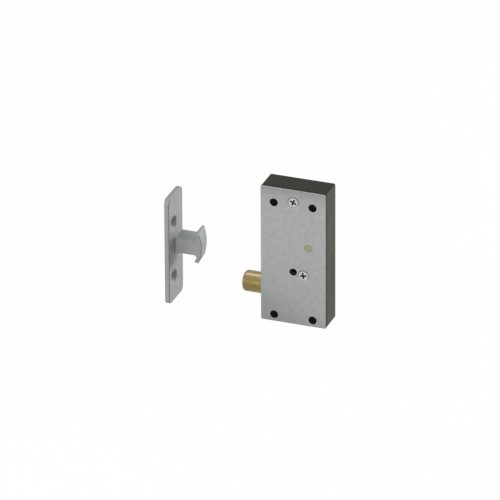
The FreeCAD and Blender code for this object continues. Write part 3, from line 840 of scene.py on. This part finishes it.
# %% Dress the inner pieces
DRESS = {
    "pivot_washers": plain_steel,
    "catch_lever": plain_steel,
    "spring_anchor_pin": plain_steel,
    "stop_pins": plain_steel,
    "stop_sleeves": black_rubber,
    "release_hub": black_oxide,
    "crank_pin": plain_steel,
    "hub_washer": black_oxide,
    "kicker_bush": moulded_bush,
    "buffer_pads": black_rubber,
    "kicker_plate": plain_steel,
    "kicker_clip": spring_wire,
    "spring_guide_pin": plain_steel,
    "spring_seat": plain_steel,
}
for name, material in DRESS.items():
    nodes[name].data.materials.clear()
    nodes[name].data.materials.append(material)
print("dressed:", len(DRESS))

# %% [markdown]
# ## The two springs
#
# A spring changes its shape when the latch works, and a rigid one would stick out through its
# neighbours. Each spring here is a copy of its construction mesh with its loose triangles merged. The
# kicker's coil rides with the case. The catch's coil is given to no body, and its place is baked into
# its mesh.


def spring_copy(name, node, body):
    """A copy of a spring's construction mesh, with its loose triangles merged, as a piece of its own."""
    piece = bpy.data.objects.new(name, nodes[node].data.copy())
    bpy.context.collection.objects.link(piece)
    return finish(piece, body, spring_wire, node)


kicker_coil = spring_copy("kicker_coil", "kicker_spring", "case")
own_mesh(kicker_coil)
catch_coil = spring_copy("catch_coil", "catch_spring", None)
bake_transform(catch_coil)

# %% [markdown]
# ## The case
#
# The real case is a zinc casting: a shallow open box with a boss round every screw. It could be cut
# from the construction mesh, but that one has hard edges, and a casting never does. So it is built as
# one would plan it: a block, its corners rounded, the cavity cut out, the bosses added and the holes
# drilled last. A small chamfer on its front rim makes the dark joint line under the cover.

# %% Block out the case and hollow it
BACK_WALL = 1.5 * MM
SIDE_WALL = 2.0 * MM
CASE_CORNER = 1.0 * MM
CASE_STEPS = 6
CAVITY_CORNER = 1.5 * MM
BACK_EDGE = 0.4 * MM
RIM_CHAMFER = 0.45 * MM
PAST = 1.0 * MM

rim_y = case_low.y
inner_low = Vector((case_low.x + SIDE_WALL, rim_y - PAST, case_low.z + SIDE_WALL))
inner_high = Vector((case_high.x - SIDE_WALL, case_high.y - BACK_WALL, case_high.z - SIDE_WALL))

case_body = block("case_body", case_low, case_high)
bevel(case_body, along(Y), CASE_CORNER, CASE_STEPS)
bevel(case_body, on_plane(Y, case_high.y), BACK_EDGE, steps=3)
bevel(case_body, on_plane(Y, rim_y), RIM_CHAMFER, steps=1)
cavity = block("cavity", inner_low, inner_high)
bevel(cavity, along(Y), CAVITY_CORNER, steps=5)
carve(case_body, [cavity])
print("cavity in mm:", [round(side / MM, 2) for side in inner_high - inner_low])

# %% Add the bosses round the screws
MOUNT_BOSS = 3.6 * MM
SCREW_BOSS = 2.6 * MM
SCREW_HEAD = 3.3 * MM
INTO_WALL = 0.5 * MM

screw_places = [
    Vector((screws_low.x + SCREW_HEAD, screws_low.y, screws_high.z - SCREW_HEAD)),
    Vector((screws_high.x - SCREW_HEAD, screws_low.y, screws_low.z + SCREW_HEAD)),
]
boss_length = inner_high.y + INTO_WALL - rim_y
bosses = [(place, MOUNT_BOSS) for place in case_holes] + [(place, SCREW_BOSS) for place in screw_places]
for place, radius in bosses:
    carve(case_body, [bar("boss", (place.x, rim_y, place.z), boss_length, radius)], "UNION")
print("bosses:", len(bosses))

# %% Cut the strike's slot and the kicker's notch
SLOT_ROOM = 0.6 * MM
HEAD_HEIGHT = 17.8 * MM
HOOK_ABOVE_MIDDLE = 1.1 * MM
KICKER_RADIUS = 5.8 * MM
NOTCH_ROOM = 0.45 * MM

middle_y = (rim_y + inner_high.y) / 2
hook_z = (strike_low.z + strike_high.z) / 2 + HOOK_ABOVE_MIDDLE
slot_half = HEAD_HEIGHT / 2 + SLOT_ROOM
notch = KICKER_RADIUS + NOTCH_ROOM
wall_start = case_low.x - PAST
wall_end = inner_low.x + PAST
kicker_z = kicker_middle.z
slot = block(
    "slot", (wall_start, rim_y - PAST, hook_z - slot_half), (wall_end, inner_high.y, hook_z + slot_half)
)
round_notch = bar("notch", (wall_start, middle_y, kicker_z), wall_end - wall_start, notch, axis=X)
open_notch = block(
    "open_notch", (wall_start, rim_y - PAST, kicker_z - notch), (wall_end, middle_y, kicker_z + notch)
)
carve(case_body, [slot, round_notch, open_notch])
print("slot in mm:", round((hook_z - slot_half) / MM, 2), "to", round((hook_z + slot_half) / MM, 2))

# %% Drill the case
PIN_RADIUS = 1.0 * MM
RELEASE_RADIUS = 2.05 * MM
SHANK_RADIUS = 1.45 * MM
PILOT_LENGTH = 10.5 * MM
HEAD_DEPTH = 1.7 * MM
HOLE_EDGE = 0.15 * MM

pivot_radius = (pin_high.x - pin_low.x) / 2
through = case_high.y - rim_y + 2 * PAST
back_hole_start = inner_high.y - PAST
stop_places = [
    Vector((stops_high.x - PIN_RADIUS, 0.0, stops_low.z + PIN_RADIUS)),
    Vector((stops_low.x + PIN_RADIUS, 0.0, stops_high.z - PIN_RADIUS)),
]
anchor = (anchor_low + anchor_high) / 2
back_holes = [(pivot, pivot_radius), (release, RELEASE_RADIUS), (anchor, PIN_RADIUS)]
back_holes += [(place, PIN_RADIUS) for place in stop_places]
for place in case_holes:
    carve(case_body, [bar("hole", (place.x, rim_y - PAST, place.z), through, case_hole_radius)])
for place, radius in back_holes:
    carve(case_body, [bar("hole", (place.x, back_hole_start, place.z), BACK_WALL + 2 * PAST, radius)])
for place in screw_places:
    pilot = bar("pilot", (place.x, cover_low.y, place.z), PILOT_LENGTH, SHANK_RADIUS)
    head = sink((place.x, cover_low.y, place.z), HEAD_DEPTH, SCREW_HEAD, SHANK_RADIUS)
    carve(case_body, [pilot, head])
for place in case_holes:
    bevel(case_body, on_ring(Y, case_high.y, place, case_hole_radius), HOLE_EDGE, steps=1)
finish(case_body, "case", dark_casting, "housing")

# %% [markdown]
# ## The cover
#
# The cover is a stamped steel plate. Its front rim is rounded, and the press has drawn its right side
# down a little, which shows in the photograph as a darker band there. The holes are cut first, and a
# bisect then marks off the strip that leans.

# %% Shape the plate
COVER_ROUND = 0.45 * MM
BACK_BREAK = 0.15 * MM

cover = block("case_cover", cover_low, cover_high)
bevel(cover, along(Y), CASE_CORNER, CASE_STEPS)
print("rim edges:", bevel(cover, on_plane(Y, cover_low.y), COVER_ROUND, steps=5))
bevel(cover, on_plane(Y, cover_high.y), BACK_BREAK, steps=1)

# %% Punch its holes
ACCESS_RADIUS = 2.1 * MM
SEAT_RADIUS = 3.35 * MM
RUNNING_GAP = 0.05 * MM
PUNCH_ROUND = 0.14 * MM

punches = [(place, case_hole_radius) for place in case_holes]
punches += [(release, ACCESS_RADIUS), (pivot, pivot_radius + RUNNING_GAP / 2)]
plate_through = cover_high.y - cover_low.y + 2 * PAST
shank_clear = SHANK_RADIUS + RUNNING_GAP
for place, radius in punches:
    carve(cover, [bar("punch", (place.x, cover_low.y - PAST, place.z), plate_through, radius)])
for place in screw_places:
    clearance = bar("clearance", (place.x, cover_low.y - PAST, place.z), plate_through, shank_clear)
    head = sink((place.x, cover_low.y, place.z), HEAD_DEPTH, SEAT_RADIUS, shank_clear)
    carve(cover, [clearance, head])
    punches.append((place, SEAT_RADIUS))
for place, radius in punches:
    count = bevel(cover, on_ring(Y, cover_low.y, place, radius), PUNCH_ROUND, steps=2)
    print("rounded", count, "edges of a hole")

# %% Lean the right side back
ROLL_WIDTH = 3.2 * MM
ROLL_ANGLE = math.radians(3.5)

hinge = Vector((cover_high.x - ROLL_WIDTH, cover_low.y, 0.0))
pick(cover, "FACE", lambda centre, normal: True)
bpy.ops.mesh.bisect(plane_co=hinge, plane_no=(1.0, 0.0, 0.0))
leave_edit()
pick(cover, "VERT", lambda place: place.x > hinge.x - NEAR and place.y < cover_low.y + COVER_ROUND)
bpy.ops.transform.rotate(value=-ROLL_ANGLE, orient_axis="Z", center_override=hinge)
leave_edit()
finish(cover, "case", satin_cover, "cover_plate")

# %% [markdown]
# ## The screws
#
# The two screws that hold the cover have flat countersunk heads with a cross recess. A cross recess is
# not a plain plus: its arms narrow towards the bottom, and a cone at the centre takes the driver's tip.
# The cutter is made as the punch is, with leaning sides, and turned to where each screw came to rest.
# The heads lie a little below the cover's face and are smaller than their seats, so that a ring of
# the seat shows round them, dark with painted shade.

# %% Turn the screws and press their crosses
SCREW_LENGTH = 9.0 * MM
ARM_WIDE = 3.9 * MM
ARM_SLOT = 1.0 * MM
ARM_DEPTH = 1.15 * MM
ARM_TAPER = 0.62
CROSS_MIDDLE = 0.8 * MM
CROSS_CONE = 1.5 * MM
HEAD_EDGE = 0.12 * MM
SHOWN_HEAD = 2.8 * MM
TIP_CHAMFER = 0.4 * MM
MOUTH_PROUD = 5 * NEAR
SCREW_TURNS = {"upper": math.radians(-24.0), "lower": math.radians(9.0)}


def cross_arm(place, wide, slot):
    """One leaning arm of the cutter. Its mouth is proud of the head, and its bottom face is drawn in."""
    arm = block(
        "arm",
        (place.x - wide / 2, place.y - MOUTH_PROUD, place.z - slot / 2),
        (place.x + wide / 2, place.y + ARM_DEPTH, place.z + slot / 2),
    )
    pick(arm, "FACE", lambda centre, normal: normal.y > 0.5)
    bpy.ops.transform.resize(value=(ARM_TAPER, 1.0, ARM_TAPER), center_override=place)
    leave_edit()
    return arm


for (name, turn), seat in zip(SCREW_TURNS.items(), screw_places):
    place = seat + Vector((0.0, HEAD_SUNK, 0.0))
    in_head = seat + Vector((0.0, HEAD_DEPTH / 2, 0.0))
    screw = bar(
        "cover_screw_" + name, place, HEAD_DEPTH - HEAD_SUNK, SHOWN_HEAD, end_radius=SHANK_RADIUS
    )
    bevel(screw, on_ring(Y, place.y, place, SHOWN_HEAD), HEAD_EDGE, steps=2)
    shank = bar("shank", in_head, SCREW_LENGTH - HEAD_DEPTH / 2, SHANK_RADIUS)
    bevel(shank, on_ring(Y, seat.y + SCREW_LENGTH, seat, SHANK_RADIUS), TIP_CHAMFER, steps=1)
    carve(screw, [shank], "UNION")
    cross = cross_arm(place, ARM_WIDE, ARM_SLOT)
    carve(cross, [cross_arm(place, ARM_SLOT, ARM_WIDE)], "UNION")
    mouth = place - Vector((0.0, MOUTH_PROUD, 0.0))
    cone = bar("cone", mouth, CROSS_CONE, CROSS_MIDDLE, end_radius=NEAR)
    carve(cross, [cone], "UNION")
    pick(cross, "FACE", lambda centre, normal: True)
    bpy.ops.transform.rotate(value=turn, orient_axis="Y", center_override=place)
    leave_edit()
    carve(screw, [cross])
    finish(screw, "case", bright_screw, "cover_screws")

# %% [markdown]
# ## The pivot pin
#
# The catch swings on a brass pin. Its front end lies flush in the cover and its other end just inside
# the back of the case. Both have a small chamfer, which draws the thin ring round them.

# %% Turn the pivot pin
PIN_CHAMFER = 0.2 * MM

pin_length = pin_high.y - pin_low.y
pivot_piece = bar("catch_pivot", (pivot.x, pin_low.y, pivot.z), pin_length, pivot_radius)
bevel(pivot_piece, on_plane(Y, pin_low.y), PIN_CHAMFER, steps=2)
bevel(pivot_piece, on_plane(Y, pin_high.y), PIN_CHAMFER, steps=2)
finish(pivot_piece, "case", pin_brass, "pivot_pin")

# %% [markdown]
# ## The kicker
#
# The kicker is one turned piece: a thick bar with a rounded nose, a thinner stem with a groove for its
# clip, and a bore for the spring. Half its section is drawn once and swung round, which is what the
# lathe did, and the nose is rounded with a bevel.

# %% Draw the kicker's half section and swing it
BUSH_END = 8.0 * MM
PAD_THICKNESS = 0.8 * MM
REST_GAP = 0.1 * MM
STEM_RADIUS = 4.5 * MM
GROOVE_RADIUS = 3.95 * MM
GROOVE_AFTER = 1.3 * MM
GROOVE_WIDE = 0.8 * MM
BORE_RADIUS = 3.5 * MM
BORE_BEFORE_WALL = 5.0 * MM
NOSE_ROUND = 1.6 * MM
SHOULDER_EDGE = 0.25 * MM

shoulder = case_low.x + BUSH_END + PAD_THICKNESS + REST_GAP
groove = shoulder + GROOVE_AFTER
bore_bottom = case_low.x - BORE_BEFORE_WALL
half_section = [
    (kicker_low.x, 0.0),
    (kicker_low.x, KICKER_RADIUS),
    (shoulder, KICKER_RADIUS),
    (shoulder, STEM_RADIUS),
    (groove, STEM_RADIUS),
    (groove, GROOVE_RADIUS),
    (groove + GROOVE_WIDE, GROOVE_RADIUS),
    (groove + GROOVE_WIDE, STEM_RADIUS),
    (kicker_high.x, STEM_RADIUS),
    (kicker_high.x, BORE_RADIUS),
    (bore_bottom, BORE_RADIUS),
    (bore_bottom, 0.0),
]
kicker = lathe("kicker_plunger", half_section, kicker_middle)
bevel(kicker, on_ring(X, kicker_low.x, kicker_middle, KICKER_RADIUS), NOSE_ROUND, steps=10)
bevel(kicker, on_ring(X, shoulder, kicker_middle, KICKER_RADIUS), SHOULDER_EDGE, steps=2)
finish(kicker, "kicker", turned_brass, "kicker")

# %% [markdown]
# ## The strike
#
# The strike is a casting with a grey coat: a plate with two countersunk holes, and a crescent head on a
# short stem. The head is an outline of arcs pushed through its depth and made thinner towards the
# back, where the crescent in the photograph is slimmer. The coat fills the root of the stem, so the
# stem is flared there before it is joined to the plate.

# %% Round off the plate
PLATE_THICKNESS = 2.8 * MM
PLATE_CORNER = 3.0 * MM
PLATE_EDGE = 0.5 * MM
PLATE_BACK_EDGE = 0.3 * MM

face_x = strike_low.x + PLATE_THICKNESS
strike = block("strike_casting", strike_low, (face_x, strike_high.y, strike_high.z))
bevel(strike, along(X), PLATE_CORNER, steps=10)
bevel(strike, on_plane(X, face_x), PLATE_EDGE, steps=4)
bevel(strike, on_plane(X, strike_low.x), PLATE_BACK_EDGE, steps=2)

# %% Draw the crescent head
HEAD_ROUND = 20.0 * MM
HEAD_RIM = 0.7 * MM
STEM_HEIGHT = 8.8 * MM
HOOK_DEPTH = 11.6 * MM
BARB_BACK = 4.3 * MM
BARB_TIP_BACK = 1.0 * MM
BARB_DROP = 1.2 * MM
HOLLOW_HEIGHT = 1.9 * MM
HOLLOW_FRONT = 1.0 * MM
NECK_FRONT = 0.1 * MM
HEAD_EDGE_ROUND = 0.48 * MM
HEAD_BACK_SHARE = 0.7
ROOT_ROUND = 0.6 * MM
ROOT_STEPS = 4
ROOT_INTO_PLATE = 1.2 * MM
LOOKS_LEFT = -0.9
ARC_STEPS = 8
OUTER_STEPS = 28


def arc_through(start, middle, end, steps):
    """Points of the arc from start through middle to end, without start."""
    (ax, az), (bx, bz), (cx, cz) = start, middle, end
    twice = 2 * (ax * (bz - cz) + bx * (cz - az) + cx * (az - bz))
    squares = [x * x + z * z for x, z in (start, middle, end)]
    x0 = (squares[0] * (bz - cz) + squares[1] * (cz - az) + squares[2] * (az - bz)) / twice
    z0 = (squares[0] * (cx - bx) + squares[1] * (ax - cx) + squares[2] * (bx - ax)) / twice
    radius = math.hypot(ax - x0, az - z0)
    angles = [math.atan2(z - z0, x - x0) for x, z in (start, middle, end)]
    sweep = (angles[2] - angles[0]) % (2 * math.pi)
    if (angles[1] - angles[0]) % (2 * math.pi) > sweep:
        sweep -= 2 * math.pi
    turns = [angles[0] + sweep * step / steps for step in range(1, steps + 1)]
    return [(x0 + radius * math.cos(turn), z0 + radius * math.sin(turn)) for turn in turns]


apex = strike_high.x
half_head = HEAD_HEIGHT / 2
half_stem = STEM_HEIGHT / 2
bow = HEAD_ROUND - math.sqrt(HEAD_ROUND**2 - (half_head - HEAD_RIM) ** 2)
barb_x = apex - BARB_BACK


def head_side(side):
    """The outline of one half of the head, from the stem's root out to the rim of the crescent."""
    root = (face_x + ROOT_ROUND, hook_z + side * half_stem)
    neck = (barb_x + NECK_FRONT, hook_z + side * half_stem)
    hollow = (barb_x + HOLLOW_FRONT, hook_z + side * (half_stem + HOLLOW_HEIGHT))
    barb = (barb_x, hook_z + side * (half_head - BARB_DROP))
    tip = (apex - bow - BARB_TIP_BACK, hook_z + side * half_head)
    rim = (apex - bow, hook_z + side * (half_head - HEAD_RIM))
    points = [root, neck] + arc_through(neck, hollow, barb, ARC_STEPS)
    return points + arc_through(barb, tip, rim, ARC_STEPS)


upper = head_side(1)
lower = head_side(-1)
crescent = arc_through(upper[-1], (apex, hook_z), lower[-1], OUTER_STEPS)
outline = upper + crescent[:-1] + lower[::-1]
hook_low = middle_y - HOOK_DEPTH / 2
hook_high = hook_low + HOOK_DEPTH
hook = plate("hook", outline, hook_low, hook_high)
pick(hook, "VERT", lambda place: abs(place.y - hook_high) < NEAR and place.x > barb_x - NEAR)
bpy.ops.transform.resize(value=(HEAD_BACK_SHARE, 1.0, 1.0), center_override=(barb_x, hook_high, hook_z))
leave_edit()
bevel(
    hook,
    lambda first, last: on_plane(Y, hook_low)(first, last) or on_plane(Y, hook_high)(first, last),
    HEAD_EDGE_ROUND,
    steps=3,
)
print("outline corners:", len(outline))

# %% Flare the root of the stem
root_end = face_x + ROOT_ROUND + NEAR
pick(hook, "FACE", lambda centre, normal: normal.x < LOOKS_LEFT and centre.x < root_end)
stem_centre = Vector((face_x, middle_y, hook_z))
flare = 0.0
along_stem = face_x + ROOT_ROUND
for step in range(1, ROOT_STEPS + 1):
    turn = math.pi / 2 * step / ROOT_STEPS
    reach = ROOT_ROUND * (1.0 - math.cos(turn))
    height = face_x + ROOT_ROUND * (1.0 - math.sin(turn))
    bpy.ops.mesh.extrude_region_move(TRANSFORM_OT_translate={"value": (height - along_stem, 0.0, 0.0)})
    grow = [(half + reach) / (half + flare) for half in (HOOK_DEPTH / 2, half_stem)]
    bpy.ops.transform.resize(value=(1.0, grow[0], grow[1]), center_override=stem_centre)
    flare = reach
    along_stem = height
bpy.ops.mesh.extrude_region_move(TRANSFORM_OT_translate={"value": (-ROOT_INTO_PLATE, 0.0, 0.0)})
leave_edit()

# %% Join the head and sink the holes
SINK_RADIUS = 4.4 * MM
SINK_EDGE = 0.15 * MM

carve(strike, [hook], "UNION")
sink_depth = SINK_RADIUS - strike_hole_radius
plate_drill = PLATE_THICKNESS + 2 * PAST
for place in strike_holes:
    drill = bar(
        "drill", (strike_low.x - PAST, place.y, place.z), plate_drill, strike_hole_radius, axis=X
    )
    funnel = bar(
        "funnel",
        (face_x - sink_depth, place.y, place.z),
        sink_depth + PROUD,
        strike_hole_radius,
        axis=X,
        end_radius=SINK_RADIUS + PROUD,
    )
    carve(strike, [drill, funnel])
    bevel(strike, on_ring(X, face_x, place, SINK_RADIUS), SINK_EDGE, steps=2)
finish(strike, "strike", cast_strike, "strike")
